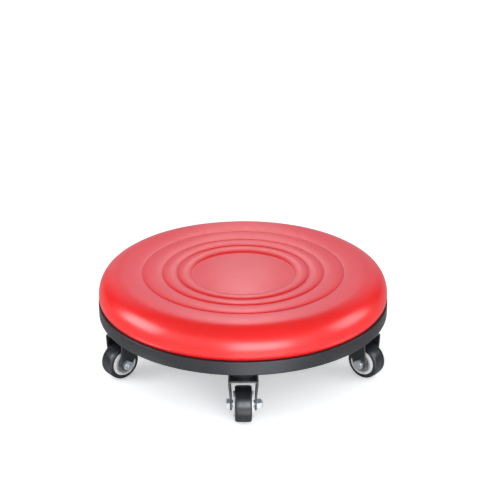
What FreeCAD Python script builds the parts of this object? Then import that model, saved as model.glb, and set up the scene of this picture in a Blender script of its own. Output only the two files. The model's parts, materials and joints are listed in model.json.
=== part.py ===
import FreeCAD, Part
import math
import os
import re
import Sketcher
from FreeCAD import Placement, Rotation, Vector

# Low roller seat: a ringed cushion on a round base with five swivel casters.
# The floor is z = 0, the seat's axis is Z and the front caster stands towards -Y.

SIZES = {
    # Whole seat, from the floor up
    "caster_height": 61,
    "base_diameter": 330,
    "base_thickness": 15.5,
    "cushion_diameter": 329,
    "cushion_thickness": 33.5,
    # Cushion skin: outer roll, three creases with a bead inside each, flat centre
    "cover_thickness": 1.2,
    "roll_radius": 26,
    "roll_drop": 2.6,
    "side_tuck": 1.7,
    "outer_crease_radius": 115,
    "middle_crease_radius": 92,
    "inner_crease_radius": 75,
    "centre_radius": 61,
    "crease_step": 1,
    "centre_drop": 0.3,
    "outer_bead_round": 55,
    "middle_bead_round": 31,
    "inner_bead_round": 19,
    # Seat board, foam and the turned-under skin
    "soft_clearance": 0.3,
    "board_gap": 0.6,
    "board_thickness": 9,
    "cover_wrap": 24,
    "staple_count": 24,
    "staple_length": 10,
    "staple_leg": 6,
    "staple_wire": 0.7,
    "staple_width": 1,
    "fit_clearance": 0.05,
    # Base edge and the screws into the seat board
    "edge_band_thickness": 1.5,
    "edge_lower_round": 1.3,
    "edge_upper_round": 0.8,
    "seat_screw_count": 5,
    "seat_screw_circle": 78,
    "seat_screw_diameter": 4.5,
    "seat_screw_head": 8.8,
    "seat_screw_cone": 2.6,
    "seat_screw_bite": 6.5,
    # Caster layout
    "caster_circle_radius": 131.5,
    "side_caster_turn": 21.6,
    "caster_trail": 18,
    # Mounting plate and its screws
    "plate_side": 42,
    "plate_corner": 4,
    "plate_thickness": 2,
    "plate_hole_pitch": 32,
    "plate_hole": 4.6,
    "boss_depth": 6.5,
    "boss_top_radius": 18,
    "boss_floor_radius": 17.5,
    "skirt_gap": 0.5,
    "plate_screw_diameter": 4,
    "plate_screw_length": 13,
    "plate_screw_head": 7.6,
    "plate_screw_head_height": 2.4,
    # Swivel bearing
    "ball_count": 10,
    "ball_diameter": 4.6,
    "race_radius": 9.5,
    "race_gap": 3,
    "kingpin_diameter": 8,
    "kingpin_head": 13,
    "kingpin_head_height": 2,
    "running_clearance": 0.05,
    "swivel_play": 0.15,
    # Fork
    "sheet": 1.8,
    "fork_top_width": 32,
    "fork_axle_width": 28,
    "fork_bend": 4,
    "fork_front": 7,
    "fork_end_radius": 7,
    "fork_taper_foot": 6,
    "fork_heel": 8,
    "fork_tangent_angle": 218,
    # Wheel and axle
    "wheel_diameter": 39,
    "tyre_width": 18,
    "tyre_shoulder_share": 0.52,
    "tyre_bore": 29,
    "hub_width": 21.4,
    "collar_diameter": 27,
    "collar_inner": 20.4,
    "recess_depth": 2.2,
    "hub_seat_lip": 0.6,
    "bearing_diameter": 19,
    "bearing_width": 6,
    "bearing_shield_depth": 0.4,
    "sleeve_diameter": 8,
    "axle_diameter": 6,
    "hex_width": 10,
    "head_height": 4,
    "nut_height": 5,
    "bolt_end": 1.4,
    "bolt_chamfer": 0.8,
}

CASTER_COUNT = 5
FRONT_ANGLE = -90
FULL_TURN = 360
# Way each caster is turned from pointing straight out: the two side casters trail forwards.
CASTER_TURNS = (0, -1, 0, 0, 1)
JOIN_TOLERANCE = 1e-4

doc = FreeCAD.newDocument("roller_seat")
sheet = doc.addObject("Spreadsheet::Sheet", "dims")
for row, (name, value) in enumerate(SIZES.items(), start=1):
    sheet.set("A%d" % row, name)
    sheet.set("B%d" % row, str(value))
    sheet.setAlias("B%d" % row, name)
doc.recompute()

nodes = []


def ref(text):
    """Point every size name in an expression at its cell in the sheet."""

    def cell(match):
        word = match.group()
        return "dims." + word if word in SIZES else word

    return re.sub(r"[a-z_]+", cell, text)


def size(text):
    """Present value of an expression of size names."""
    return float(sheet.evalExpression(ref(text)))


def new_body(label):
    body = doc.addObject("PartDesign::Body", label)
    body.Label = label
    body.AllowCompound = True
    nodes.append(body)
    return body


def origin_part(body, role):
    return [feature for feature in body.Origin.OriginFeatures if feature.Role == role][0]


def new_sketch(body, role, height="0"):
    """Sketch on one of the body's own planes, lifted along that plane's normal."""
    sketch = body.newObject("Sketcher::SketchObject", "sketch")
    sketch.AttachmentSupport = (origin_part(body, role), [""])
    sketch.MapMode = "FlatFace"
    if height != "0":
        sketch.setExpression("AttachmentOffset.Base.z", ref(height))
    return sketch


def bind(sketch, constraint, text):
    """Add a dimension to a sketch and tie it to the sheet."""
    number = sketch.addConstraint(constraint)
    sketch.setExpression("Constraints[%d]" % number, ref(text))


def pin(sketch, edge, end, x, y):
    """Hold one end of an edge at x, y, which are expressions of the sizes."""
    if x == "0":
        sketch.addConstraint(Sketcher.Constraint("PointOnObject", edge, end, -2))
    else:
        bind(sketch, Sketcher.Constraint("DistanceX", -1, 1, edge, end, size(x)), x)
    if y == "0":
        sketch.addConstraint(Sketcher.Constraint("PointOnObject", edge, end, -1))
    else:
        bind(sketch, Sketcher.Constraint("DistanceY", -1, 1, edge, end, size(y)), y)


def arc_between(start, end, radius, side):
    """Shorter arc from start to end; side is +1 with the centre on the left, -1 on the right."""
    chord = end - start
    across = Vector(-chord.y, chord.x, 0).normalize()
    rise = math.sqrt(max(radius ** 2 - (chord.Length / 2) ** 2, 0))
    centre = (start + end) / 2 + across * rise * side
    return Part.Arc(start, centre - across * radius * side, end)


def outline(sketch, corners):
    """Closed outline. A corner is (x, y), or (x, y, radius, side) where an arc leads to the next."""
    points = [Vector(size(corner[0]), size(corner[1]), 0) for corner in corners]
    ends = []
    for i, corner in enumerate(corners):
        start = points[i]
        end = points[(i + 1) % len(points)]
        if len(corner) == 4:
            edge = sketch.addGeometry(arc_between(start, end, size(corner[2]), corner[3]), False)
        else:
            edge = sketch.addGeometry(Part.LineSegment(start, end), False)
        first_end = sketch.getPoint(edge, 1).distanceToPoint(start) < JOIN_TOLERANCE
        ends.append((edge, 1, 2) if first_end else (edge, 2, 1))
    for i, (edge, near, far) in enumerate(ends):
        following, following_near, _ = ends[(i + 1) % len(ends)]
        sketch.addConstraint(Sketcher.Constraint("Coincident", edge, far, following, following_near))
    for corner, (edge, near, far) in zip(corners, ends):
        pin(sketch, edge, near, corner[0], corner[1])
        if len(corner) == 4:
            bind(sketch, Sketcher.Constraint("Radius", edge, size(corner[2])), corner[2])


def circle(sketch, x, y, diameter):
    radius = size(diameter) / 2
    edge = sketch.addGeometry(Part.Circle(Vector(size(x), size(y), 0), Vector(0, 0, 1), radius), False)
    pin(sketch, edge, 3, x, y)
    bind(sketch, Sketcher.Constraint("Diameter", edge, 2 * radius), diameter)


def rectangle(sketch, x, y, width, depth):
    """Rectangle with its middle at x, y."""
    left = "%s - (%s) / 2" % (x, width)
    right = "%s + (%s) / 2" % (x, width)
    lower = "%s - (%s) / 2" % (y, depth)
    upper = "%s + (%s) / 2" % (y, depth)
    outline(sketch, [(left, lower), (right, lower), (right, upper), (left, upper)])


def turned(body, kind, corners):
    """Turn an outline of (radius, height) corners about the body's own Z axis."""
    sketch = new_sketch(body, "XZ_Plane")
    outline(sketch, corners)
    feature = body.newObject("PartDesign::" + kind, kind)
    feature.Profile = sketch
    feature.ReferenceAxis = (sketch, ["V_Axis"])
    feature.Angle = FULL_TURN
    sketch.Visibility = False
    doc.recompute()
    return feature


def padded(body, sketch, length, midplane=False):
    feature = body.newObject("PartDesign::Pad", "Pad")
    feature.Profile = sketch
    feature.SideType = "Symmetric" if midplane else "One side"
    feature.setExpression("Length", ref(length))
    sketch.Visibility = False
    doc.recompute()
    return feature


def cut(body, sketch, length, midplane=False, upwards=False):
    feature = body.newObject("PartDesign::Pocket", "Pocket")
    feature.Profile = sketch
    feature.SideType = "Symmetric" if midplane else "One side"
    feature.Reversed = upwards
    feature.setExpression("Length", ref(length))
    sketch.Visibility = False
    before = body.Shape.Volume
    doc.recompute()
    if body.Shape.Volume >= before - JOIN_TOLERANCE:
        raise ValueError("a pocket in %s removes nothing" % body.Label)
    return feature


def ringed(body, features, count):
    """Repeat features round the body's Z axis; count is a size name or a number."""
    pattern = body.newObject("PartDesign::PolarPattern", "PolarPattern")
    pattern.Originals = features
    pattern.Axis = (origin_part(body, "Z_Axis"), [""])
    pattern.Angle = FULL_TURN
    pattern.setExpression("Occurrences", ref(count))
    body.Tip = pattern
    doc.recompute()
    return pattern


def mirrored(body, features, role):
    pattern = body.newObject("PartDesign::Mirrored", "Mirrored")
    pattern.Originals = features
    pattern.MirrorPlane = (origin_part(body, role), [""])
    body.Tip = pattern
    doc.recompute()
    return pattern


def face_front(body):
    """Turn a piece with a pattern of five so that its first one faces the front caster."""
    body.Placement = Placement(Vector(0, 0, 0), Rotation(Vector(0, 0, 1), FRONT_ANGLE))


# Heights shared by the pieces
BASE_TOP = "(caster_height + base_thickness)"
SEAT_TOP = "(caster_height + base_thickness + cushion_thickness)"
BOARD_UNDER = "(caster_height + base_thickness + cover_thickness)"
BOARD_TOP = "(caster_height + base_thickness + cover_thickness + board_thickness)"
ROLL_CENTRE = "(caster_height + base_thickness + cushion_thickness - roll_radius)"

# Cushion radii
SEAT_RADIUS = "(cushion_diameter / 2)"
ROLL_APEX = "(cushion_diameter / 2 - roll_radius)"
BOARD_RADIUS = "(cushion_diameter / 2 - side_tuck - cover_thickness - board_gap)"
STAPLE_RADIUS = "(cushion_diameter / 2 - side_tuck - cover_thickness - board_gap - cover_wrap / 2)"


def seat_top_corners(inset):
    """Seat surface from the axis out to the start of the side, lowered by inset."""
    crease = "%s - roll_drop - %s" % (SEAT_TOP, inset)
    roll_slope = "((%s - outer_crease_radius)^2 + roll_drop^2) / (2 * roll_drop)" % ROLL_APEX
    centre = "%s - 2 * crease_step - centre_drop" % crease
    return [
        ("0", centre),
        ("centre_radius", centre, "inner_bead_round", -1),
        ("inner_crease_radius", "%s - 2 * crease_step" % crease, "middle_bead_round", -1),
        ("middle_crease_radius", "%s - crease_step" % crease, "outer_bead_round", -1),
        ("outer_crease_radius", crease, roll_slope, -1),
        (ROLL_APEX, "%s - %s" % (SEAT_TOP, inset), "roll_radius - %s" % inset, -1),
    ]


def build_seat_cover():
    body = new_body("seat_cover")
    outside = seat_top_corners("0")
    inside = seat_top_corners("cover_thickness")
    turn_under = "%s - cover_wrap" % BOARD_RADIUS
    side = [
        (SEAT_RADIUS, ROLL_CENTRE),
        ("%s - side_tuck" % SEAT_RADIUS, BASE_TOP),
        (turn_under, BASE_TOP),
        (turn_under, BOARD_UNDER),
        ("%s - side_tuck - cover_thickness" % SEAT_RADIUS, BOARD_UNDER),
    ]
    # The inner surface runs back to the axis, so each arc moves to the corner it now leaves from.
    back = [("%s - cover_thickness" % SEAT_RADIUS, ROLL_CENTRE) + (inside[-1][2], 1)]
    for i in range(len(inside) - 1, 0, -1):
        arc = inside[i - 1][2:]
        back.append(inside[i][:2] + ((arc[0], 1) if arc else ()))
    back.append(inside[0])
    turned(body, "Revolution", outside + side + back)
    sketch = new_sketch(body, "XY_Plane", BASE_TOP)
    width = "staple_width + 2 * fit_clearance"
    rectangle(sketch, STAPLE_RADIUS, "0", width, "staple_length + 2 * fit_clearance")
    slot = cut(body, sketch, "cover_thickness", upwards=True)
    ringed(body, [slot], "staple_count")


def build_seat_foam():
    body = new_body("seat_foam")
    inset = "(cover_thickness + soft_clearance)"
    reach = "%s + sqrt((roll_radius - %s)^2 - (%s - %s)^2)" % (ROLL_APEX, inset, BOARD_TOP, ROLL_CENTRE)
    turned(body, "Revolution", seat_top_corners(inset) + [(reach, BOARD_TOP), ("0", BOARD_TOP)])


def build_seat_board():
    body = new_body("seat_board")
    sketch = new_sketch(body, "XY_Plane", BOARD_UNDER)
    circle(sketch, "0", "0", "2 * %s" % BOARD_RADIUS)
    padded(body, sketch, "board_thickness")
    legs = new_sketch(body, "XY_Plane", BOARD_UNDER)
    width = "staple_width + 2 * fit_clearance"
    for way in ("-", "+"):
        middle = "0 %s (staple_length - staple_wire) / 2" % way
        rectangle(legs, STAPLE_RADIUS, middle, width, "staple_wire + 2 * fit_clearance")
    holes = cut(body, legs, "staple_leg - cover_thickness + fit_clearance", upwards=True)
    ringed(body, [holes], "staple_count")
    pilots = new_sketch(body, "XY_Plane", BOARD_UNDER)
    circle(pilots, "0 - seat_screw_circle", "0", "seat_screw_diameter + 2 * fit_clearance")
    pilot = cut(body, pilots, "seat_screw_bite + fit_clearance", upwards=True)
    ringed(body, [pilot], "seat_screw_count")
    face_front(body)


def build_cover_staples():
    body = new_body("cover_staples")
    sketch = new_sketch(body, "YZ_Plane", "%s - staple_width / 2" % STAPLE_RADIUS)
    low = BASE_TOP
    crown = "%s + staple_wire" % BASE_TOP
    tip = "%s + staple_leg" % BASE_TOP
    inner = "(staple_length / 2 - staple_wire)"
    outline(sketch, [
        ("0 - staple_length / 2", low),
        ("staple_length / 2", low),
        ("staple_length / 2", tip),
        (inner, tip),
        (inner, crown),
        ("0 - " + inner, crown),
        ("0 - " + inner, tip),
        ("0 - staple_length / 2", tip),
    ])
    staple = padded(body, sketch, "staple_width")
    ringed(body, [staple], "staple_count")


def build_base_board():
    body = new_body("base_board")
    sketch = new_sketch(body, "XY_Plane", "caster_height")
    circle(sketch, "0", "0", "base_diameter - 2 * edge_band_thickness")
    padded(body, sketch, "base_thickness")
    pilots = new_sketch(body, "XY_Plane", "caster_height")
    for x, y in plate_hole_corners("caster_circle_radius"):
        circle(pilots, x, y, "plate_screw_diameter + 2 * fit_clearance")
    pilot = cut(body, pilots, "plate_screw_length - plate_thickness + fit_clearance", upwards=True)
    ringed(body, [pilot], str(CASTER_COUNT))
    through = new_sketch(body, "XY_Plane", "caster_height")
    circle(through, "0 - seat_screw_circle", "0", "seat_screw_diameter + 2 * fit_clearance")
    hole = cut(body, through, "base_thickness", upwards=True)
    ringed(body, [hole], "seat_screw_count")
    countersinks = new_sketch(body, "XY_Plane", "caster_height")
    circle(countersinks, "0 - seat_screw_circle", "0", "seat_screw_head + 2 * fit_clearance")
    countersink = cut(body, countersinks, "seat_screw_cone", upwards=True)
    ringed(body, [countersink], "seat_screw_count")
    face_front(body)


def build_edge_band():
    body = new_body("edge_band")
    inner = "base_diameter / 2 - edge_band_thickness"
    outer = "base_diameter / 2"
    turned(body, "Revolution", [
        (inner, "caster_height"),
        ("%s - edge_lower_round" % outer, "caster_height", "edge_lower_round", 1),
        (outer, "caster_height + edge_lower_round"),
        (outer, "%s - edge_upper_round" % BASE_TOP, "edge_upper_round", 1),
        ("%s - edge_upper_round" % outer, BASE_TOP),
        (inner, BASE_TOP),
    ])


# Caster heights, measured from the floor
PLATE_UNDER = "(caster_height - plate_thickness)"
FLOOR_UNDER = "(caster_height - plate_thickness - boss_depth)"
FLOOR_TOP = "(caster_height - boss_depth)"
BALL_HEIGHT = "(caster_height - plate_thickness - boss_depth - race_gap / 2)"
CROWN_TOP = "(caster_height - plate_thickness - boss_depth - race_gap)"
CROWN_UNDER = "(caster_height - plate_thickness - boss_depth - race_gap - sheet)"
AXLE_HEIGHT = "(wheel_diameter / 2)"
# Fork and wheel half widths, measured along the axle
FORK_OUTER = "(fork_axle_width / 2)"
FORK_INNER = "(fork_axle_width / 2 - sheet)"
RECESS_FLOOR = "(hub_width / 2 - recess_depth)"
# The tread's rounded shoulders take a share of its thickness.
SHOULDER = "(tyre_shoulder_share * (wheel_diameter - tyre_bore) / 2)"
# A hex head's turned chamfer starts just inside the flats and falls at thirty degrees.
CHAMFER_START = 0.48
CHAMFER_REACH = 0.65
CHAMFER_SLOPE = 30
# A cut that trims a fork to an outline has its outer border this many times further out.
BORDER = 4
HEX_SIDES = 6


def caster_spot(index, turn=0):
    """Where a caster's pieces stand: its swivel axis is local Z and it trails along local X."""
    angle = FRONT_ANGLE + index * FULL_TURN / CASTER_COUNT
    reach = size("caster_circle_radius")
    foot = Vector(reach * math.cos(math.radians(angle)), reach * math.sin(math.radians(angle)), 0)
    return Placement(foot, Rotation(Vector(0, 0, 1), angle + turn))


def swivel_spot(index):
    return caster_spot(index, CASTER_TURNS[index] * size("side_caster_turn"))


def axle_spot(index):
    """Where the wheel's pieces stand: the axle is local Z, with the nut at its positive end."""
    axle = Placement(Vector(size("caster_trail"), 0, size(AXLE_HEIGHT)), Rotation(Vector(1, 0, 0), -90))
    return swivel_spot(index) * axle


def race_groove(body):
    """Round groove that the balls run in."""
    sketch = new_sketch(body, "XZ_Plane")
    circle(sketch, "race_radius", BALL_HEIGHT, "ball_diameter + 2 * running_clearance")
    groove = body.newObject("PartDesign::Groove", "Groove")
    groove.Profile = sketch
    groove.ReferenceAxis = (sketch, ["V_Axis"])
    groove.Angle = FULL_TURN
    sketch.Visibility = False
    doc.recompute()


def plate_hole_corners(radial_middle):
    """Middles of a plate's four screw holes."""
    corners = []
    for x_way in ("-", "+"):
        for y_way in ("-", "+"):
            x = "%s %s plate_hole_pitch / 2" % (radial_middle, x_way)
            y = "0 %s plate_hole_pitch / 2" % y_way
            corners.append((x, y))
    return corners


def build_plate(label, spot):
    body = new_body(label)
    sketch = new_sketch(body, "XY_Plane", PLATE_UNDER)
    edge = "(plate_side / 2)"
    inner = "(plate_side / 2 - plate_corner)"
    outline(sketch, [
        (edge, "0 - " + inner),
        (edge, inner, "plate_corner", 1),
        (inner, edge),
        ("0 - " + inner, edge, "plate_corner", 1),
        ("0 - " + edge, inner),
        ("0 - " + edge, "0 - " + inner, "plate_corner", 1),
        ("0 - " + inner, "0 - " + edge),
        (inner, "0 - " + edge, "plate_corner", 1),
    ])
    padded(body, sketch, "plate_thickness")
    opening = new_sketch(body, "XY_Plane", PLATE_UNDER)
    circle(opening, "0", "0", "2 * boss_top_radius - plate_thickness")
    cut(body, opening, "plate_thickness", upwards=True)
    pin_hole = "(kingpin_diameter / 2 + fit_clearance)"
    turned(body, "Revolution", [
        ("boss_top_radius", "caster_height"),
        ("boss_top_radius - plate_thickness", "caster_height"),
        ("boss_floor_radius - plate_thickness", FLOOR_TOP),
        (pin_hole, FLOOR_TOP),
        (pin_hole, FLOOR_UNDER),
        ("boss_floor_radius - plate_thickness", FLOOR_UNDER),
        ("boss_floor_radius - plate_thickness", "%s + skirt_gap" % CROWN_TOP),
        ("boss_floor_radius", "%s + skirt_gap" % CROWN_TOP),
        ("boss_top_radius", PLATE_UNDER),
    ])
    race_groove(body)
    holes = new_sketch(body, "XY_Plane", PLATE_UNDER)
    for x, y in plate_hole_corners("0"):
        circle(holes, x, y, "plate_hole")
    cut(body, holes, "plate_thickness", upwards=True)
    body.Placement = spot


def build_kingpin(label, spot):
    body = new_body(label)
    head_top = "(%s - swivel_play)" % CROWN_UNDER
    head_under = "(%s - swivel_play - kingpin_head_height)" % CROWN_UNDER
    rivet_top = "(%s + kingpin_head_height)" % FLOOR_TOP
    head_round = "(kingpin_head_height / 2)"
    head = "(kingpin_head / 2)"
    pin = "(kingpin_diameter / 2)"
    turned(body, "Revolution", [
        ("0", head_under),
        ("%s - %s" % (head, head_round), head_under, head_round, 1),
        (head, "%s + %s" % (head_under, head_round)),
        (head, head_top),
        (pin, head_top),
        (pin, FLOOR_TOP),
        (head, FLOOR_TOP),
        (head, "%s - %s" % (rivet_top, head_round), head_round, 1),
        ("%s - %s" % (head, head_round), rivet_top),
        ("0", rivet_top),
    ])
    body.Placement = spot


def build_balls(label, spot):
    body = new_body(label)
    ball = body.newObject("PartDesign::AdditiveSphere", "ball")
    ball.AttachmentSupport = (origin_part(body, "XY_Plane"), [""])
    ball.MapMode = "FlatFace"
    ball.setExpression("Radius", ref("ball_diameter / 2"))
    ball.setExpression("AttachmentOffset.Base.x", ref("race_radius"))
    ball.setExpression("AttachmentOffset.Base.z", ref(BALL_HEIGHT))
    doc.recompute()
    ringed(body, [ball], "ball_count")
    body.Placement = spot


def build_fork(label, spot):
    body = new_body(label)
    low = "(%s - fork_end_radius)" % AXLE_HEIGHT
    foot = "(%s + fork_taper_foot)" % AXLE_HEIGHT
    shoulder = "(%s - fork_bend)" % CROWN_TOP
    top_outer = "(fork_top_width / 2)"
    top_inner = "(fork_top_width / 2 - sheet)"
    bend = "(fork_top_width / 2 - fork_bend)"
    section = new_sketch(body, "YZ_Plane")
    outline(section, [
        (FORK_OUTER, low),
        (FORK_OUTER, foot),
        (top_outer, shoulder, "fork_bend", 1),
        (bend, CROWN_TOP),
        ("0 - " + bend, CROWN_TOP, "fork_bend", 1),
        ("0 - " + top_outer, shoulder),
        ("0 - " + FORK_OUTER, foot),
        ("0 - " + FORK_OUTER, low),
        ("0 - " + FORK_INNER, low),
        ("0 - " + FORK_INNER, foot),
        ("0 - " + top_inner, shoulder, "fork_bend - sheet", -1),
        ("0 - " + bend, CROWN_UNDER),
        (bend, CROWN_UNDER, "fork_bend - sheet", -1),
        (top_inner, shoulder),
        (FORK_INNER, foot),
        (FORK_INNER, low),
    ])
    length = "2 * (caster_trail + fork_front + sheet)"
    padded(body, section, length, midplane=True)
    # Side view: a straight front edge, a round end about the axle and a sloping rear edge
    front = "(caster_trail + fork_front)"
    rear = "(0 - fork_top_width / 2)"
    above = "(%s + sheet)" % CROWN_TOP
    tangent_x = "(caster_trail + fork_end_radius * cos(fork_tangent_angle))"
    tangent_y = "(%s + fork_end_radius * sin(fork_tangent_angle))" % AXLE_HEIGHT
    side = new_sketch(body, "XZ_Plane")
    outline(side, [
        (front, above),
        (rear, above),
        (rear, CROWN_UNDER),
        ("0 - fork_heel", CROWN_UNDER),
        (tangent_x, tangent_y, "fork_end_radius", 1),
        ("caster_trail", low, "fork_end_radius", 1),
        ("caster_trail + fork_end_radius", AXLE_HEIGHT),
    ])
    rectangle(side, "0", CROWN_TOP, "%d * %s" % (BORDER, front), "%d * %s" % (BORDER, CROWN_TOP))
    cut(body, side, "2 * fork_top_width", midplane=True)
    # Plan view: the crown ends in a half circle about the swivel axis
    plan = new_sketch(body, "XY_Plane", CROWN_UNDER)
    outline(plan, [
        (front + " + sheet", "0 - " + top_outer),
        (front + " + sheet", top_outer),
        ("0", top_outer, top_outer, 1),
        (rear, "0", top_outer, 1),
        ("0", "0 - " + top_outer),
    ])
    rectangle(plan, "0", "0", "%d * %s" % (BORDER, front), "%d * %s" % (BORDER, top_outer))
    cut(body, plan, "2 * sheet", upwards=True)
    hole = new_sketch(body, "XY_Plane", CROWN_UNDER)
    circle(hole, "0", "0", "kingpin_diameter + 2 * running_clearance")
    cut(body, hole, "sheet", upwards=True)
    axle = new_sketch(body, "XZ_Plane")
    circle(axle, "caster_trail", AXLE_HEIGHT, "axle_diameter + 2 * fit_clearance")
    cut(body, axle, "2 * fork_axle_width", midplane=True)
    race_groove(body)
    body.Placement = spot


def build_sleeve(label, spot):
    body = new_body(label)
    bore = "(axle_diameter / 2 + fit_clearance)"
    turned(body, "Revolution", [
        (bore, "0 - " + FORK_INNER),
        ("sleeve_diameter / 2", "0 - " + FORK_INNER),
        ("sleeve_diameter / 2", FORK_INNER),
        (bore, FORK_INNER),
    ])
    body.Placement = spot


def hexagon(sketch):
    step = FULL_TURN // HEX_SIDES
    corner = "hex_width / 2 / cos(%d)" % (step // 2)
    angles = [step // 2 + step * i for i in range(HEX_SIDES)]
    outline(sketch, [("%s * cos(%d)" % (corner, a), "%s * sin(%d)" % (corner, a)) for a in angles])


def chamfer_hex(body, face, way):
    """Turn off the corners of a hex at its outer face; way is the direction into the hex."""
    fall = (CHAMFER_REACH - CHAMFER_START) * math.tan(math.radians(CHAMFER_SLOPE))
    turned(body, "Groove", [
        ("hex_width * %g" % CHAMFER_START, face),
        ("hex_width * %g" % CHAMFER_REACH, face),
        ("hex_width * %g" % CHAMFER_REACH, "%s %s hex_width * %g" % (face, way, fall)),
    ])


def build_bolt(label, spot):
    body = new_body(label)
    under_head = "(0 - fork_axle_width / 2)"
    head_face = "(0 - fork_axle_width / 2 - head_height)"
    end = "(fork_axle_width / 2 + nut_height + bolt_end)"
    radius = "(axle_diameter / 2)"
    turned(body, "Revolution", [
        ("0", head_face),
        (radius, head_face),
        (radius, "%s - bolt_chamfer" % end),
        ("%s - bolt_chamfer" % radius, end),
        ("0", end),
    ])
    head = new_sketch(body, "XY_Plane", head_face)
    hexagon(head)
    padded(body, head, "head_height")
    chamfer_hex(body, head_face, "+")
    body.Placement = spot


def build_nut(label, spot):
    body = new_body(label)
    sketch = new_sketch(body, "XY_Plane", FORK_OUTER)
    hexagon(sketch)
    circle(sketch, "0", "0", "axle_diameter + 2 * fit_clearance")
    padded(body, sketch, "nut_height")
    chamfer_hex(body, "(%s + nut_height)" % FORK_OUTER, "-")
    body.Placement = spot


def build_tyre(label, spot):
    body = new_body(label)
    tread = "(wheel_diameter / 2)"
    side = "(tyre_width / 2)"
    turned(body, "Revolution", [
        ("tyre_bore / 2", "0 - " + side),
        ("%s - %s" % (tread, SHOULDER), "0 - " + side, SHOULDER, 1),
        (tread, "%s - %s" % (SHOULDER, side)),
        (tread, "%s - %s" % (side, SHOULDER), SHOULDER, 1),
        ("%s - %s" % (tread, SHOULDER), side),
        ("tyre_bore / 2", side),
    ])
    body.Placement = spot


def build_hub(label, spot):
    body = new_body(label)
    seat = "(bearing_diameter / 2 + fit_clearance)"
    step = "(hub_width / 2 - recess_depth - bearing_width)"
    bore = "(bearing_diameter / 2 - bearing_width / 3)"
    rim = "(tyre_bore / 2 - fit_clearance)"
    lip = "(tyre_width / 2 - hub_seat_lip)"
    face = "(hub_width / 2)"
    upper = [
        (rim, lip),
        ("collar_diameter / 2", lip),
        ("collar_diameter / 2", "%s - hub_seat_lip" % face),
        ("collar_diameter / 2 - hub_seat_lip", face),
        ("collar_inner / 2", face),
        ("%s + hub_seat_lip" % seat, RECESS_FLOOR),
        (seat, RECESS_FLOOR),
        (seat, step),
        (bore, step),
    ]
    lower = [(radius, "0 - " + "(%s)" % height) for radius, height in reversed(upper)]
    turned(body, "Revolution", upper + lower)
    body.Placement = spot


def build_bearings(label, spot):
    body = new_body(label)
    bore = "(sleeve_diameter / 2 + running_clearance)"
    outer = "(bearing_diameter / 2)"
    ring = "((bearing_diameter - sleeve_diameter) / 8)"
    inner_face = "(%s - bearing_width)" % RECESS_FLOOR
    shield = "(%s - bearing_shield_depth)" % RECESS_FLOOR
    bearing = turned(body, "Revolution", [
        (bore, inner_face),
        (outer, inner_face),
        (outer, RECESS_FLOOR),
        ("%s - %s" % (outer, ring), RECESS_FLOOR),
        ("%s - %s" % (outer, ring), shield),
        ("%s + %s" % (bore, ring), shield),
        ("%s + %s" % (bore, ring), RECESS_FLOOR),
        (bore, RECESS_FLOOR),
    ])
    mirrored(body, [bearing], "XY_Plane")
    body.Placement = spot


def build_plate_screws():
    body = new_body("plate_screws")
    shanks = new_sketch(body, "XY_Plane", "%s - plate_screw_head_height / 2" % PLATE_UNDER)
    heads = new_sketch(body, "XY_Plane", "%s - plate_screw_head_height" % PLATE_UNDER)
    for x, y in plate_hole_corners("caster_circle_radius"):
        circle(shanks, x, y, "plate_screw_diameter")
        circle(heads, x, y, "plate_screw_head")
    shank = padded(body, shanks, "plate_screw_length + plate_screw_head_height / 2")
    head = padded(body, heads, "plate_screw_head_height")
    ringed(body, [shank, head], str(CASTER_COUNT))
    face_front(body)


def build_seat_screws():
    body = new_body("seat_screws")
    heads = new_sketch(body, "XY_Plane", "caster_height")
    circle(heads, "0 - seat_screw_circle", "0", "seat_screw_head")
    head = padded(body, heads, "seat_screw_cone")
    shanks = new_sketch(body, "XY_Plane", "caster_height")
    circle(shanks, "0 - seat_screw_circle", "0", "seat_screw_diameter")
    shank = padded(body, shanks, "base_thickness + cover_thickness + seat_screw_bite")
    ringed(body, [head, shank], "seat_screw_count")
    face_front(body)


def build_caster(index):
    name = "caster_%d_" % (index + 1)
    build_plate(name + "plate", caster_spot(index))
    build_kingpin(name + "kingpin", caster_spot(index))
    build_balls(name + "balls", caster_spot(index))
    build_fork(name + "fork", swivel_spot(index))
    build_sleeve(name + "axle_sleeve", axle_spot(index))
    build_bolt(name + "axle_bolt", axle_spot(index))
    build_nut(name + "axle_nut", axle_spot(index))
    build_hub(name + "hub", axle_spot(index))
    build_tyre(name + "tyre", axle_spot(index))
    build_bearings(name + "bearings", axle_spot(index))


def build():
    build_seat_cover()
    build_seat_foam()
    build_seat_board()
    build_cover_staples()
    build_base_board()
    build_edge_band()
    build_seat_screws()
    build_plate_screws()
    for index in range(CASTER_COUNT):
        build_caster(index)


build()
doc.recompute()

for body in nodes:
    if "Invalid" in body.State or "Error" in body.State:
        raise ValueError("%s did not build" % body.Label)
    if body.Shape.isNull() or not body.Shape.isValid():
        raise ValueError("%s has no valid shape" % body.Label)

os.makedirs("parts", exist_ok=True)
for body in nodes:
    body.Shape.exportStep("parts/%s.step" % body.Label)
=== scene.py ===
import json
import math

import bmesh
import bpy
from mathutils import Matrix, Vector, noise


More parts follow.
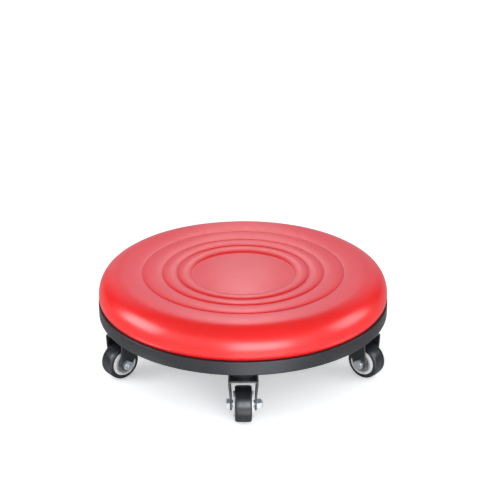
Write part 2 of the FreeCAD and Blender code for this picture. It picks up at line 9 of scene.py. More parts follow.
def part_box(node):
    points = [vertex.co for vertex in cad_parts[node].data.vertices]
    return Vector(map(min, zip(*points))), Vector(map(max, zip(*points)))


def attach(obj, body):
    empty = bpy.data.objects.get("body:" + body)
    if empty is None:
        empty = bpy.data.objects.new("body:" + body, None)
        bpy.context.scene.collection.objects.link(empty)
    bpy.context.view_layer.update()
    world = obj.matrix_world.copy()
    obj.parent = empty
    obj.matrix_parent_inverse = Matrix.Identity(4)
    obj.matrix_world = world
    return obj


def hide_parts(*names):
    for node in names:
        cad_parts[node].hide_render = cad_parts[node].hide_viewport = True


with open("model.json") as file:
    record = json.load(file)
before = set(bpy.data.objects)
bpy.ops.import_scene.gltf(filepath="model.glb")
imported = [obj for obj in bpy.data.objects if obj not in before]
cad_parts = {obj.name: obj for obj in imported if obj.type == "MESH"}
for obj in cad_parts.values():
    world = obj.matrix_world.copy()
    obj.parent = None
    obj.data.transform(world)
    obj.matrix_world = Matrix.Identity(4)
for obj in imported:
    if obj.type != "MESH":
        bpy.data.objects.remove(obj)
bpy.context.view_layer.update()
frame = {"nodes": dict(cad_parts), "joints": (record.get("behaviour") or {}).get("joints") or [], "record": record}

# Low roller seat: leatherette cushion with pressed rings, black base disc, five swivel casters.
# Sizes of the turned profiles are in millimetres; everything in the scene is in metres.

MM = 0.001
CASTERS = range(1, 6)
ROUND_STEPS = 256
WHEEL_STEPS = 96

# Camera, fitted to the photograph: distance and height angle from a point on the seat's axis
VIEW_HEIGHT = 0.070
VIEW_DISTANCE = 1.400
VIEW_ELEVATION = math.radians(25.27)
FOCAL_PIXELS = 1215.0
FRAME_PIXELS = 500
SENSOR_MM = 36.0
# Where that point lands in the photograph, from the middle of the frame, in pixels
AXIS_LEFT = 7.0
AXIS_BELOW = 49.5

# Top of the cushion, from the middle outwards: a disc, a lip round it, and rings between creases
CENTRE_RADIUS = 58.0
CENTRE_HEIGHT = 103.6
CENTRE_DOME = 1.5
LIP_RADIUS = 60.2
LIP_HEIGHT = 104.9
# Radius and height of each crease, and the swell and lean of the ring inside it
CREASES = ((75.0, 105.4), (92.0, 106.4), (115.0, 107.4))
BEAD_HEIGHTS = (1.5, 1.5, 1.35)
BEAD_SKEWS = (0.85, 0.82, 0.80)
CREASE_DEPTHS = (0.5, 0.4, 0.3)
CREASE_WIDTH = 0.7
# Creases are rounded by an average over this width, taken out to twice the width each way
CREASE_ROUND = 0.35
ROUNDING_SAMPLES = 6
ROUNDING_REACH = 2.0

# Outer roll, side and underside of the cushion
ROLL_RADIUS = 26.0
ROLL_FULLNESS = 2.15
SIDE_TUCK = 1.7
SIDE_TUCK_ABOVE = 0.7
LOWER_ROUND = 2.4
TURN_UNDER = 24.0
# Room left round the seat board, which the skin is turned under
SKIN_CLEARANCE = 0.1
BOARD_CLEARANCE = 0.5

# Spacing of the cushion's profile points: in the disc, over the rings, and out to the roll
DISC_STEP = 5.0
RING_STEP = 0.4
LAND_STEP = 1.6
RINGS_START = CENTRE_RADIUS - 6
RINGS_END = CREASES[-1][0] + 5
ROLL_STEPS = 36
SIDE_STEPS = 8
LOWER_STEPS = 8

# Unevenness of the foam: size in millimetres, waves per metre, and where it starts above the base
SURFACE_DRIFT = 0.28
SLOW_WAVES = 16.0
QUICK_WAVES = 55.0
QUICK_SHARE = 0.35
QUICK_OFFSET = Vector((3.1, 7.7, 1.9))
DRIFT_START = 0.079
DRIFT_FADE = 0.01

# Strip round the base disc
STRIP_THICKNESS = 1.5
STRIP_LOWER_ROUND = 1.3
STRIP_UPPER_ROUND = 0.8

# Wheels: radii, and distances from the middle of the tread along the axle
TREAD_RADIUS = 19.5
TREAD_CROWN = 0.5
TREAD_SHOULDER = 4.4
TYRE_HALF_WIDTH = 9.0
TYRE_SEAT_RADIUS = 14.5
TYRE_LIP_RADIUS = 15.4
TYRE_LIP = 0.3
SIDEWALL_ROUND = 2.2
SIDEWALL_STEPS = 10
SHOULDER_ROUND = 1.5
HUB_RIM_SIDE = 8.6
HUB_RING_RADIUS = 13.5
HUB_RING_SIDE = 10.7
HUB_RING_INSIDE = 10.2
HUB_RECESS_RADIUS = 10.1
HUB_RECESS_SIDE = 8.5
BEARING_RADIUS = 9.55
BEARING_STOP = 2.5
HUB_BORE_RADIUS = 7.5
HUB_EDGE_ROUND = 0.25
CORNER_STEPS = 5

# Studio: what the dark room, the pale wall behind the seat and the pale front add in reflections
ROOM_LIGHT = (0.02, 0.02, 0.023)
FRONT_LIGHT = (0.80, 0.84, 0.92)
WALL_LIGHT = (0.56, 0.61, 0.73)
# These lights fade over ranges of a direction's parts: to the back, to the front, up and sideways
WALL_BACK_FADE = (0.0, 0.3)
WALL_TOP_FADE = (0.50, 0.78)
WALL_SIDE_FADE = (0.35, 0.72)
FRONT_FADE = (-0.60, -0.25)
FILL_LIGHT = 0.88
PANEL_COLOUR = (0.90, 0.94, 1.0)
WHITE = (1.0, 1.0, 1.0, 1.0)
FLOOR_REACH = 12.0
FLOOR_COLOUR = (0.95, 0.95, 0.95, 1.0)
FLOOR_ROUGHNESS = 0.9
FLOOR_GLOW = 0.36
# The floor as reflections see it
FLOOR_MIRRORED = (0.55, 0.55, 0.55, 1.0)
FLOOR_SHEEN_ROUGHNESS = 0.25
FLOOR_MATT_SHARE = 0.35

# Colours of the materials
DEEP_RED = (0.73, 0.001, 0.001)
BRIGHT_RED = (0.79, 0.002, 0.0015)
BOARD_BLACK = (0.022, 0.022, 0.024)
STRIP_BLACK = (0.004, 0.004, 0.007)
PAINT_BLACK = (0.011, 0.011, 0.013)
# Paler grey of the fork's corners: worn paint and painted highlight
PAINT_WORN_AND_HIGHLIT = (0.17, 0.17, 0.18)
TREAD_BLACK = (0.007, 0.0075, 0.010)
TREAD_SCUFFED = (0.013, 0.014, 0.018)
ZINC = (0.80, 0.84, 0.88)
BEARING_STEEL = (0.55, 0.55, 0.57)
DARK_PLY = (0.52, 0.36, 0.20)
PALE_PLY = (0.66, 0.49, 0.30)
DARK_FOAM = (0.62, 0.56, 0.38)
PALE_FOAM = (0.80, 0.74, 0.55)
PLASTIC_MOTTLE = 0.86
METAL_MOTTLE = 0.82
METAL_SHARE = 0.8
PLY_ROUGHNESS = 0.7
FOAM_ROUGHNESS = 0.95
# Shine of the surfaces seen from straight ahead
SPECULAR_LEVEL = 1.0

# Face of the hub, from its bearing seat out to its white ring: colours at the two ends, and
# grey by share of the way between them. Everything darker than the white ring is painted shade
# of the recess, its groove and the bearing seat.
HUB_FACE = (0.0085, 0.0130)
HUB_SHADED_INNER_COLOUR = (0.10, 0.10, 0.10, 1.0)
HUB_OUTER_COLOUR = (0.74, 0.74, 0.73, 1.0)
HUB_PAINTED_SHADES = ((0.20, 0.12), (0.30, 0.34), (0.62, 0.46), (0.70, 0.22), (0.80, 0.70))
HUB_WARMTH = 0.97
# Noise that shifts the painted shade rings in and out, so that their edges are uneven
HUB_SHADE_WOBBLE = (0.3, 0.75)
HUB_SHADE_WOBBLE_REACH = (-0.0004, 0.0004)

# Paint paler along corners, partly worn off and partly a painted highlight where the edges catch the light: how
# far in, and how far the surface has to turn there
EDGE_WEAR_AND_HIGHLIGHT_REACH = 0.0009
EDGE_WEAR_AND_HIGHLIGHT_TURN = (0.80, 0.985)
WEAR_PATCHES = (0.3, 0.6)
WEAR_SHARE = (0.35, 1.0)

# Ranges used with node values
NOISE_RANGE = (0.3, 0.7)
MIDDLE_RANGE = (0.35, 0.65)
SCUFF_RANGE = (0.35, 0.7)
PLY_RANGE = (0.2, 0.9)
CELL_RANGE = (0.0, 0.4)
RISING = (0.0, 1.0)
FALLING = (1.0, 0.0)


# Node helpers

def new_material(name):
    material = bpy.data.materials.new(name)
    material.use_nodes = True
    shader = material.node_tree.nodes["Principled BSDF"]
    shader.inputs["Specular IOR Level"].default_value = SPECULAR_LEVEL
    return material, material.node_tree, shader


def add_node(tree, kind, **inputs):
    """New node with values on its sockets; an underscore stands for a space in a socket's name."""
    node = tree.nodes.new(kind)
    for name, value in inputs.items():
        node.inputs[name.replace("_", " ")].default_value = value
    return node


def feed(tree, shader, **sources):
    """Link node outputs to a shader's sockets, named as in add_node."""
    for name, source in sources.items():
        tree.links.new(source, shader.inputs[name.replace("_", " ")])


def object_place(tree):
    return tree.nodes.new("ShaderNodeTexCoord").outputs["Object"]


def noise_field(tree, place, scale, detail=4.0):
    field = add_node(tree, "ShaderNodeTexNoise", Scale=scale, Detail=detail, Roughness=0.55)
    tree.links.new(place, field.inputs["Vector"])
    return field.outputs["Fac"]


def cell_field(tree, place, scale):
    field = add_node(tree, "ShaderNodeTexVoronoi", Scale=scale)
    field.feature = "DISTANCE_TO_EDGE"
    tree.links.new(place, field.inputs["Vector"])
    return field.outputs["Distance"]


def remap(tree, source, span, target):
    """Carry a value from one range over to another, held at the ends."""
    node = tree.nodes.new("ShaderNodeMapRange")
    for name, value in zip(("From Min", "From Max", "To Min", "To Max"), (*span, *target)):
        node.inputs[name].default_value = value
    tree.links.new(source, node.inputs["Value"])
    return node.outputs["Result"]


def join(tree, operation, first, second=None):
    node = tree.nodes.new("ShaderNodeMath")
    node.operation = operation
    tree.links.new(first, node.inputs[0])
    if second is not None:
        tree.links.new(second, node.inputs[1])
    return node.outputs["Value"]


def blend_colours(tree, source, span, first, second):
    ramp = tree.nodes.new("ShaderNodeValToRGB")
    for stop, position, colour in zip(ramp.color_ramp.elements, span, (first, second)):
        stop.position = position
        stop.color = (*colour, 1.0)
    tree.links.new(source, ramp.inputs["Fac"])
    return ramp.outputs["Color"]


def gloss_field(tree, place, scale, roughness):
    """Roughness that wanders over a range."""
    return remap(tree, noise_field(tree, place, scale), NOISE_RANGE, roughness)


def bump(tree, height, strength, distance, under=None):
    node = add_node(tree, "ShaderNodeBump", Strength=strength, Distance=distance)
    tree.links.new(height, node.inputs["Height"])
    if under is not None:
        tree.links.new(under, node.inputs["Normal"])
    return node.outputs["Normal"]


def edge_mask(tree, reach, span):
    """Bright along the corners of a piece, from how far a rounded normal leaves the true one."""
    rounded_normal = add_node(tree, "ShaderNodeBevel", Radius=reach)
    true_normal = tree.nodes.new("ShaderNodeNewGeometry").outputs["True Normal"]
    turn = tree.nodes.new("ShaderNodeVectorMath")
    turn.operation = "DOT_PRODUCT"
    tree.links.new(rounded_normal.outputs["Normal"], turn.inputs[0])
    tree.links.new(true_normal, turn.inputs[1])
    return remap(tree, turn.outputs["Value"], span, FALLING)


def axle_distance(tree, place):
    """Distance from a turned piece's own axis."""
    across = tree.nodes.new("ShaderNodeVectorMath")
    across.operation = "MULTIPLY"
    across.inputs[1].default_value = (1.0, 1.0, 0.0)
    tree.links.new(place, across.inputs[0])
    length = tree.nodes.new("ShaderNodeVectorMath")
    length.operation = "LENGTH"
    tree.links.new(across.outputs["Vector"], length.inputs[0])
    return length.outputs["Value"]


# Materials

def leatherette():
    material, tree, shader = new_material("red_leatherette")
    place = object_place(tree)
    shade = noise_field(tree, place, scale=14.0, detail=3.0)
    colour = blend_colours(tree, shade, NOISE_RANGE, DEEP_RED, BRIGHT_RED)
    gloss = gloss_field(tree, place, scale=90.0, roughness=(0.29, 0.34))
    pores = noise_field(tree, place, scale=2600.0, detail=2.0)
    fine = bump(tree, pores, strength=0.08, distance=0.00006)
    grain = cell_field(tree, place, scale=1100.0)
    relief = bump(tree, grain, strength=0.10, distance=0.0001, under=fine)
    feed(tree, shader, Base_Color=colour, Roughness=gloss, Normal=relief)
    return material


def black_plastic(name, tint, roughness, grain_scale, grain_strength):
    material, tree, shader = new_material(name)
    place = object_place(tree)
    mottle = noise_field(tree, place, scale=60.0)
    darker = tuple(PLASTIC_MOTTLE * part for part in tint)
    colour = blend_colours(tree, mottle, MIDDLE_RANGE, darker, tint)
    gloss = gloss_field(tree, place, scale=240.0, roughness=roughness)
    grain = noise_field(tree, place, scale=grain_scale, detail=3.0)
    relief = bump(tree, grain, strength=grain_strength, distance=0.0001)
    feed(tree, shader, Base_Color=colour, Roughness=gloss, Normal=relief)
    return material


def painted_steel():
    material, tree, shader = new_material("black_painted_steel")
    place = object_place(tree)
    chips = noise_field(tree, place, scale=260.0, detail=5.0)
    patches = remap(tree, chips, WEAR_PATCHES, WEAR_SHARE)
    # Corners lightened in the colour: worn paint, and a painted highlight along the edges
    worn_and_highlit = join(tree, "MULTIPLY", edge_mask(tree, EDGE_WEAR_AND_HIGHLIGHT_REACH, EDGE_WEAR_AND_HIGHLIGHT_TURN), patches)
    colour = blend_colours(tree, worn_and_highlit, RISING, PAINT_BLACK, PAINT_WORN_AND_HIGHLIT)
    gloss = gloss_field(tree, place, scale=160.0, roughness=(0.30, 0.40))
    peel = noise_field(tree, place, scale=420.0, detail=2.0)
    relief = bump(tree, peel, strength=0.10, distance=0.00015)
    feed(tree, shader, Base_Color=colour, Roughness=gloss, Normal=relief)
    return material


def bare_metal(name, tint, roughness):
    material, tree, shader = new_material(name)
    place = object_place(tree)
    cloud = noise_field(tree, place, scale=350.0)
    darker = tuple(METAL_MOTTLE * part for part in tint)
    colour = blend_colours(tree, cloud, NOISE_RANGE, darker, tint)
    gloss = gloss_field(tree, place, scale=900.0, roughness=roughness)
    relief = bump(tree, noise_field(tree, place, scale=2200.0), strength=0.06, distance=0.00005)
    feed(tree, shader, Base_Color=colour, Roughness=gloss, Normal=relief)
    shader.inputs["Metallic"].default_value = METAL_SHARE
    return material


def white_plastic():
    material, tree, shader = new_material("white_hub_plastic")
    place = object_place(tree)
    # The face is greyed by radius: painted shade of the recess, its groove and the bearing seat, with uneven edges
    shade_wobble = noise_field(tree, place, scale=180.0)
    spread = remap(tree, shade_wobble, HUB_SHADE_WOBBLE, HUB_SHADE_WOBBLE_REACH)
    reach = join(tree, "ADD", axle_distance(tree, place), spread)
    ramp = tree.nodes.new("ShaderNodeValToRGB")
    stops = ramp.color_ramp.elements
    stops[0].color = HUB_SHADED_INNER_COLOUR
    stops[1].color = HUB_OUTER_COLOUR
    for share, grey in HUB_PAINTED_SHADES:
        stops.new(share).color = (grey, grey, HUB_WARMTH * grey, 1.0)
    tree.links.new(remap(tree, reach, HUB_FACE, RISING), ramp.inputs["Fac"])
    gloss = gloss_field(tree, place, scale=700.0, roughness=(0.34, 0.46))
    relief = bump(tree, noise_field(tree, place, scale=1200.0), strength=0.05, distance=0.0001)
    feed(tree, shader, Base_Color=ramp.outputs["Color"], Roughness=gloss, Normal=relief)
    return material


def tread_rubber():
    material, tree, shader = new_material("black_tread")
    place = object_place(tree)
    scuff = noise_field(tree, place, scale=320.0, detail=6.0)
    colour = blend_colours(tree, scuff, SCUFF_RANGE, TREAD_BLACK, TREAD_SCUFFED)
    gloss = gloss_field(tree, place, scale=500.0, roughness=(0.30, 0.38))
    relief = bump(tree, noise_field(tree, place, scale=1600.0), strength=0.10, distance=0.0001)
    feed(tree, shader, Base_Color=colour, Roughness=gloss, Normal=relief)
    return material


def plywood():
    material, tree, shader = new_material("plywood")
    waves = add_node(tree, "ShaderNodeTexWave", Scale=38.0, Distortion=6.0, Detail=4.0)
    tree.links.new(object_place(tree), waves.inputs["Vector"])
    grain = waves.outputs["Fac"]
    colour = blend_colours(tree, grain, PLY_RANGE, DARK_PLY, PALE_PLY)
    relief = bump(tree, grain, strength=0.1, distance=0.0002)
    feed(tree, shader, Base_Color=colour, Normal=relief)
    shader.inputs["Roughness"].default_value = PLY_ROUGHNESS
    return material


def foam():
    material, tree, shader = new_material("foam")
    cells = cell_field(tree, object_place(tree), scale=700.0)
    colour = blend_colours(tree, cells, CELL_RANGE, DARK_FOAM, PALE_FOAM)
    relief = bump(tree, cells, strength=0.4, distance=0.0004)
    feed(tree, shader, Base_Color=colour, Normal=relief)
    shader.inputs["Roughness"].default_value = FOAM_ROUGHNESS
    return material


SLOT_MATERIALS = {
    "red_leatherette": leatherette(),
    "foam": foam(),
    "plywood": plywood(),
    "black_board": black_plastic(
        "black_board", BOARD_BLACK, roughness=(0.45, 0.6), grain_scale=900.0, grain_strength=0.25
    ),
    "black_edge": black_plastic(
        "black_edge_strip", STRIP_BLACK, roughness=(0.34, 0.46), grain_scale=1400.0, grain_strength=0.12
    ),
    "plated_steel": bare_metal("zinc_plated_steel", ZINC, roughness=(0.34, 0.48)),
    "polished_steel": bare_metal("bearing_steel", BEARING_STEEL, roughness=(0.30, 0.42)),
    "painted_plate": painted_steel(),
    "white_plastic": white_plastic(),
    "black_tread": tread_rubber(),
}
SLOT_MATERIALS["black_steel"] = SLOT_MATERIALS["painted_plate"]


def paint_cad_nodes():
    """Give every carried-over CAD node the node material of its slot."""
    for part in frame["record"]["subparts"]:
        node = frame["nodes"][part["node"]]
        node.data.materials.clear()
        node.data.materials.append(SLOT_MATERIALS[part["material_slot"]])


# Turned pieces

def face_outward(mesh):
    """Turn every face of a closed mesh so that its front is outside."""
    shell = bmesh.new()
    shell.from_mesh(mesh)
    bmesh.ops.recalc_face_normals(shell, faces=shell.faces)
    shell.to_mesh(mesh)
    shell.free()


def turned_rings(profile, steps):
    """Points of a profile turned about Z, in metres, and their numbers ring by ring."""
    verts = []
    rings = []
    for radius, height in profile:
        if radius < 1e-6:
            rings.append([len(verts)])
            verts.append((0.0, 0.0, height * MM))
            continue
        ring = []
        for i in range(steps):
            angle = 2 * math.pi * i / steps
            ring.append(len(verts))
            verts.append((radius * MM * math.cos(angle), radius * MM * math.sin(angle), height * MM))
        rings.append(ring)
    return verts, rings


def lathe(name, profile, steps, closed):
    """Mesh of (radius, height) points turned about Z; the ends may lie on the axis."""
    verts, rings = turned_rings(profile, steps)
    faces = []
    pairs = list(zip(rings, rings[1:]))
    if closed:
        pairs.append((rings[-1], rings[0]))
    for first, second in pairs:
        for i in range(steps):
            j = (i + 1) % steps
            near = [first[i % len(first)], second[i % len(second)]]
            far = [second[j % len(second)], first[j % len(first)]]
            faces.append(list(dict.fromkeys(near + far)))
    mesh = bpy.data.meshes.new(name)
    mesh.from_pydata(verts, [], faces)
    face_outward(mesh)
    mesh.polygons.foreach_set("use_smooth", [True] * len(mesh.polygons))
    mesh.update()
    return mesh


def add_piece(name, mesh, body, slot, *nodes, matrix=None):
    """Put a mesh in the scene in place of CAD nodes, riding on their body."""
    piece = bpy.data.objects.new(name, mesh)
    bpy.context.scene.collection.objects.link(piece)
    if matrix is not None:
        piece.matrix_world = matrix
    if not mesh.materials:
        mesh.materials.append(SLOT_MATERIALS[slot])
    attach(piece, body)
    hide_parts(*nodes)
    return piece


def round_corner(profile, index, radius, count=CORNER_STEPS):
    """Replace one corner of a profile by a small arc-like curve."""
    before = Vector(profile[index - 1])
    corner = Vector(profile[index])
    after = Vector(profile[(index + 1) % len(profile)])
    start = corner + (before - corner).normalized() * radius
    end = corner + (after - corner).normalized() * radius
    curve = []
    for i in range(count + 1):
        t = i / count
        curve.append(tuple(start * (1 - t) ** 2 + corner * 2 * t * (1 - t) + end * t ** 2))
    return curve


def rounded(profile, radius):
    points = []
    for i in range(len(profile)):
        points += round_corner(profile, i, radius)
    return points


# Cushion

def seat_height(radius, top):
    """Height of the seat's upper surface inside the top of the roll."""
    edges = ((LIP_RADIUS, LIP_HEIGHT),) + CREASES
    if radius <= CENTRE_RADIUS:
        return CENTRE_HEIGHT + CENTRE_DOME * (1 - (radius / CENTRE_RADIUS) ** 2)
    if radius <= LIP_RADIUS:
        climb = (radius - CENTRE_RADIUS) / (LIP_RADIUS - CENTRE_RADIUS)
        return CENTRE_HEIGHT + (LIP_HEIGHT - CENTRE_HEIGHT) * climb
    for inner, outer, height, skew in zip(edges, edges[1:], BEAD_HEIGHTS, BEAD_SKEWS):
        if radius <= outer[0]:
            share = (outer[0] - radius) / (outer[0] - inner[0])
            chord = outer[1] + (inner[1] - outer[1]) * share
            leaning = share ** skew
            return chord + 4 * height * leaning * (1 - leaning)
    apex, crest = top
    fall = crest - CREASES[-1][1]
    return crest - fall * ((apex - radius) / (apex - CREASES[-1][0])) ** 2


def crease_cut(radius):
    """Extra depth of the pressed lines, which are narrower than the rings between them."""
    depth = 0.0
    for (crease, _), cut in zip(CREASES, CREASE_DEPTHS):
        depth += cut * math.exp(-((radius - crease) / CREASE_WIDTH) ** 2)
    return depth


def smooth_height(radius, top):
    """Seat height with its creases rounded off as stretched skin rounds them."""
    total = 0.0
    weight = 0.0
    for step in range(-ROUNDING_SAMPLES, ROUNDING_SAMPLES + 1):
        offset = ROUNDING_REACH * step / ROUNDING_SAMPLES
        share = math.exp(-0.5 * offset ** 2)
        place = min(abs(radius + offset * CREASE_ROUND), top[0])
        total += share * (seat_height(place, top) - crease_cut(place))
        weight += share
    return total / weight


def stretch(low, high, step):
    """Even values from low up to high, without high itself."""
    count = max(1, round((high - low) / step))
    return [low + (high - low) * i / count for i in range(count)]


def seat_outline(top):
    """From the middle of the seat over its rings to the top of the roll."""
    radii = stretch(0.0, RINGS_START, DISC_STEP)
    radii += stretch(RINGS_START, RINGS_END, RING_STEP)
    radii += stretch(RINGS_END, top[0], LAND_STEP)
    return [(radius, smooth_height(radius, top)) for radius in radii]


def roll_outline(top):
    """Over the outer roll, which is slightly fuller than a quarter circle."""
    apex, crest = top
    outline = []
    for i in range(ROLL_STEPS):
        angle = math.pi / 2 * (1 - i / ROLL_STEPS)
        across = max(math.cos(angle), 0.0) ** (2 / ROLL_FULLNESS)
        up = max(math.sin(angle), 0.0) ** (2 / ROLL_FULLNESS)
        outline.append((apex + ROLL_RADIUS * across, crest - ROLL_RADIUS + ROLL_RADIUS * up))
    return outline


def side_outline(widest, waist, bottom):
    """Down the side, which draws in towards the base."""
    outline = []
    for i in range(SIDE_STEPS):
        share = i / SIDE_STEPS
        height = waist + (bottom + LOWER_ROUND - waist) * share
        outline.append((widest - SIDE_TUCK * share ** 2 * SIDE_TUCK_ABOVE, height))
    return outline


def lower_outline(foot, bottom):
    """Round the lower edge to where the skin lies flat."""
    outline = []
    for i in range(LOWER_STEPS + 1):
        angle = math.pi / 2 * i / LOWER_STEPS
        height = bottom + LOWER_ROUND - LOWER_ROUND * math.sin(angle)
        outline.append((foot + LOWER_ROUND * math.cos(angle), height))
    return outline


def board_outline(inner, bottom):
    """Round the edge of the turned-under skin and the pocket for the seat board."""
    low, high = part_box("seat_board")
    skin = low.z / MM - SKIN_CLEARANCE
    pocket = high.x / MM + BOARD_CLEARANCE
    ceiling = high.z / MM + BOARD_CLEARANCE
    return [(inner, bottom), (inner, skin), (pocket, skin), (pocket, ceiling), (0.0, ceiling)]


def cushion_profile():
    low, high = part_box("seat_cover")
    widest = high.x / MM
    bottom = low.z / MM
    crest = high.z / MM
    top = (widest - ROLL_RADIUS, crest)
    foot = widest - SIDE_TUCK - LOWER_ROUND
    profile = seat_outline(top) + roll_outline(top)
    profile += side_outline(widest, crest - ROLL_RADIUS, bottom)
    profile += lower_outline(foot, bottom)
    return profile + board_outline(foot - TURN_UNDER, bottom)


def drift_surface(mesh):
    """Slight unevenness of foam under stretched skin."""
    normals = [vertex.normal.copy() for vertex in mesh.vertices]
    for vertex, normal in zip(mesh.vertices, normals):
        slow = noise.noise(vertex.co * SLOW_WAVES)
        quick = noise.noise(vertex.co * QUICK_WAVES + QUICK_OFFSET)
        lift = (slow + QUICK_SHARE * quick) * SURFACE_DRIFT * MM
        above = min(max((vertex.co.z - DRIFT_START) / DRIFT_FADE, 0.0), 1.0)
        vertex.co += normal * lift * above


def build_cushion():
    mesh = lathe("seat_cushion", cushion_profile(), ROUND_STEPS, closed=False)
    drift_surface(mesh)
    mesh.update()
    piece = add_piece("seat_cushion", mesh, "base", "red_leatherette", "seat_cover", "seat_foam")


# Base edge and wheels

def build_edge_band():
    low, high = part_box("edge_band")
    outer = high.x / MM
    bottom = low.z / MM
    crest = high.z / MM
    inner = outer - STRIP_THICKNESS
    lower = [(inner, bottom), (outer, bottom), (outer, crest)]
    upper = [(outer, bottom), (outer, crest), (inner, crest)]
    profile = [(inner, bottom)] + round_corner(lower, 1, STRIP_LOWER_ROUND)
    profile += round_corner(upper, 1, STRIP_UPPER_ROUND) + [(inner, crest)]
    mesh = lathe("edge_strip", profile, ROUND_STEPS, closed=True)
    add_piece("edge_strip", mesh, "base", "black_edge", "edge_band")


def tyre_profile():
    half = TYRE_HALF_WIDTH
    shoulder = half - TREAD_SHOULDER
    corners = [
        (TYRE_SEAT_RADIUS, -half + TYRE_LIP),
        (TYRE_LIP_RADIUS, -half),
        (TREAD_RADIUS - TREAD_CROWN, -half),
        (TREAD_RADIUS, -shoulder),
        (TREAD_RADIUS, shoulder),
        (TREAD_RADIUS - TREAD_CROWN, half),
        (TYRE_LIP_RADIUS, half),
        (TYRE_SEAT_RADIUS, half - TYRE_LIP),
    ]
    profile = corners[:2]
    profile += round_corner(corners, 2, SIDEWALL_ROUND, SIDEWALL_STEPS)
    profile += round_corner(corners, 3, SHOULDER_ROUND)
    profile += round_corner(corners, 4, SHOULDER_ROUND)
    profile += round_corner(corners, 5, SIDEWALL_ROUND, SIDEWALL_STEPS)
    return profile + corners[6:]


def hub_profile():
    upper = [
        (TYRE_SEAT_RADIUS, HUB_RIM_SIDE),
        (HUB_RING_RADIUS, HUB_RIM_SIDE),
        (HUB_RING_RADIUS, HUB_RING_SIDE),
        (HUB_RING_INSIDE, HUB_RING_SIDE),
        (HUB_RECESS_RADIUS, HUB_RECESS_SIDE),
        (BEARING_RADIUS, HUB_RECESS_SIDE),
        (BEARING_RADIUS, BEARING_STOP),
        (HUB_BORE_RADIUS, BEARING_STOP),
    ]
    lower = [(radius, -height) for radius, height in reversed(upper)]
    return rounded(upper + lower, HUB_EDGE_ROUND)


def axle_matrix(joint):
    """Frame of a wheel: Z along its axle, X level."""
    axis = Vector(joint["axis"]).normalized()
    side = Vector((0.0, 0.0, 1.0)).cross(axis).normalized()
    turn = Matrix((side, axis.cross(side), axis)).transposed().to_4x4()
    return Matrix.Translation(Vector(joint["pos_m"])) @ turn


def build_wheels():
    tyre = lathe("tyre", tyre_profile(), WHEEL_STEPS, closed=True)
    hub = lathe("hub", hub_profile(), WHEEL_STEPS, closed=True)
    joints = {joint["name"]: joint for joint in frame["joints"]}
    for number in CASTERS:
        caster = "caster_%d" % number
        body = "wheel_%d" % number
        matrix = axle_matrix(joints[caster + "_roll"])
        add_piece("tyre_%d" % number, tyre, body, "black_tread", caster + "_tyre", matrix=matrix)
        add_piece("hub_%d" % number, hub, body, "white_plastic", caster + "_hub", matrix=matrix)


# Stage

def mix_shaders(tree, share, first, second):
    """Shader that goes from the first to the second as the share goes from 0 to 1."""
    mix = tree.nodes.new("ShaderNodeMixShader")
    tree.links.new(share, mix.inputs["Fac"])
    tree.links.new(first, mix.inputs[1])
    tree.links.new(second, mix.inputs[2])
    return mix.outputs["Shader"]


def floor_material():
    """Pale floor that keeps the seat's shadow, and is dimmer in reflections."""
    material, tree, shader = new_material("pale_floor")
    material.cycles.emission_sampling = "NONE"
    path = tree.nodes.new("ShaderNodeLightPath")
    shader.inputs["Base Color"].default_value = FLOOR_COLOUR
    shader.inputs["Roughness"].default_value = FLOOR_ROUGHNESS
    shader.inputs["Emission Color"].default_value = WHITE
    glow = remap(tree, path.outputs["Is Camera Ray"], RISING, (0.0, FLOOR_GLOW))
    feed(tree, shader, Emission_Strength=glow)
    sheen = add_node(tree, "ShaderNodeBsdfGlossy", Color=FLOOR_MIRRORED)
    sheen.inputs["Roughness"].default_value = FLOOR_SHEEN_ROUGHNESS
    matt = add_node(tree, "ShaderNodeBsdfDiffuse", Color=FLOOR_COLOUR)
    mirrored = add_node(tree, "ShaderNodeMixShader", Fac=FLOOR_MATT_SHARE)
    tree.links.new(sheen.outputs["BSDF"], mirrored.inputs[1])
    tree.links.new(matt.outputs["BSDF"], mirrored.inputs[2])
    reflected = path.outputs["Is Glossy Ray"]
    surface = mix_shaders(tree, reflected, shader.outputs["BSDF"], mirrored.outputs["Shader"])
    tree.links.new(surface, tree.nodes["Material Output"].inputs["Surface"])
    return material


def build_floor():
    mesh = bpy.data.meshes.new("floor")
    corners = [(x * FLOOR_REACH, y * FLOOR_REACH, 0) for x, y in ((-1, -1), (1, -1), (1, 1), (-1, 1))]
    mesh.from_pydata(corners, [], [(0, 1, 2, 3)])
    floor = bpy.data.objects.new("floor", mesh)
    bpy.context.scene.collection.objects.link(floor)
    mesh.materials.append(floor_material())


def reflected_colour(tree):
    """Colour of the studio by direction: a dim room with a pale wall behind and a pale front."""
    heading = tree.nodes.new("ShaderNodeSeparateXYZ")
    coordinates = tree.nodes.new("ShaderNodeTexCoord")
    tree.links.new(coordinates.outputs["Generated"], heading.inputs["Vector"])
    sideways = join(tree, "ABSOLUTE", heading.outputs["X"])
    behind = remap(tree, heading.outputs["Y"], WALL_BACK_FADE, RISING)
    ahead = remap(tree, heading.outputs["Y"], FRONT_FADE, FALLING)
    middle = remap(tree, sideways, WALL_SIDE_FADE, FALLING)
    below = remap(tree, heading.outputs["Z"], WALL_TOP_FADE, FALLING)
    wall = join(tree, "MULTIPLY", join(tree, "MULTIPLY", behind, middle), below)
    shade = add_node(tree, "ShaderNodeMixRGB", Color2=(*FRONT_LIGHT, 1.0))
    tree.links.new(join(tree, "MULTIPLY", ahead, below), shade.inputs["Fac"])
    tree.links.new(blend_colours(tree, wall, RISING, ROOM_LIGHT, WALL_LIGHT), shade.inputs["Color1"])
    return shade.outputs["Color"]


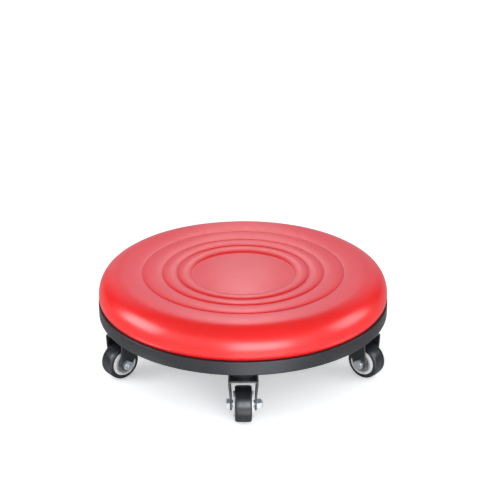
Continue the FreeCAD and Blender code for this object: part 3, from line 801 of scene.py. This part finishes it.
def build_world():
    """White to the camera, an even fill light, and a studio of its own in reflections."""
    world = bpy.data.worlds.new("studio")
    bpy.context.scene.world = world
    world.use_nodes = True
    tree = world.node_tree
    room = tree.nodes["Background"]
    room.inputs["Strength"].default_value = 1.0
    tree.links.new(reflected_colour(tree), room.inputs["Color"])
    white = add_node(tree, "ShaderNodeBackground", Color=WHITE, Strength=1.0)
    fill = add_node(tree, "ShaderNodeBackground", Color=WHITE, Strength=FILL_LIGHT)
    path = tree.nodes.new("ShaderNodeLightPath")
    reflected = path.outputs["Is Glossy Ray"]
    seen_through = path.outputs["Is Transmission Ray"]
    unseen = mix_shaders(tree, reflected, fill.outputs["Background"], room.outputs["Background"])
    looked_at = join(tree, "MAXIMUM", path.outputs["Is Camera Ray"], seen_through)
    surface = mix_shaders(tree, looked_at, unseen, white.outputs["Background"])
    tree.links.new(surface, tree.nodes["World Output"].inputs["Surface"])


def add_panel(name, place, facing, width, height, watts):
    """Upright soft light near the seat; at facing 0 it shines to the back, at 180 to the front."""
    data = bpy.data.lights.new(name, "AREA")
    data.shape = "RECTANGLE"
    data.size = width
    data.size_y = height
    data.energy = watts
    data.color = PANEL_COLOUR
    panel = bpy.data.objects.new(name, data)
    bpy.context.scene.collection.objects.link(panel)
    panel.location = place
    panel.rotation_euler = (math.radians(90.0), 0.0, math.radians(facing))
    panel.visible_camera = False


def build_lamps():
    add_panel("back_panel", (0.0, 0.45, 0.53), facing=180.0, width=0.36, height=0.46, watts=0.21)
    add_panel("back_panel_core", (0.0, 0.449, 0.55), facing=180.0, width=0.10, height=0.42, watts=0.26)
    add_panel("back_panel_low", (0.0, 0.448, 0.26), facing=180.0, width=0.12, height=0.14, watts=0.02)
    add_panel("front_panel", (0.085, -0.42, 0.137), facing=0.0, width=0.27, height=0.17, watts=0.64)
    add_panel("left_panel", (-0.36, -0.14, 0.205), facing=-90.0, width=0.20, height=0.17, watts=0.52)
    add_panel("right_panel", (0.36, -0.11, 0.205), facing=90.0, width=0.18, height=0.17, watts=0.30)


def build_camera():
    data = bpy.data.cameras.new("camera")
    data.sensor_width = SENSOR_MM
    data.lens = SENSOR_MM * FOCAL_PIXELS / FRAME_PIXELS
    camera = bpy.data.objects.new("camera", data)
    bpy.context.scene.collection.objects.link(camera)
    back = Vector((0.0, -math.cos(VIEW_ELEVATION), math.sin(VIEW_ELEVATION)))
    up = Vector((0.0, math.sin(VIEW_ELEVATION), math.cos(VIEW_ELEVATION)))
    centre = Vector((0.0, 0.0, VIEW_HEIGHT))
    camera.location = centre + back * VIEW_DISTANCE
    scale = VIEW_DISTANCE / FOCAL_PIXELS
    aim = centre + Vector((1.0, 0.0, 0.0)) * AXIS_LEFT * scale + up * AXIS_BELOW * scale
    camera.rotation_mode = "QUATERNION"
    camera.rotation_quaternion = (aim - camera.location).to_track_quat("-Z", "Y")
    bpy.context.scene.camera = camera


paint_cad_nodes()
build_cushion()
build_edge_band()
build_wheels()
build_floor()
build_world()
build_lamps()
build_camera()
bpy.context.scene.view_settings.view_transform = "Standard"
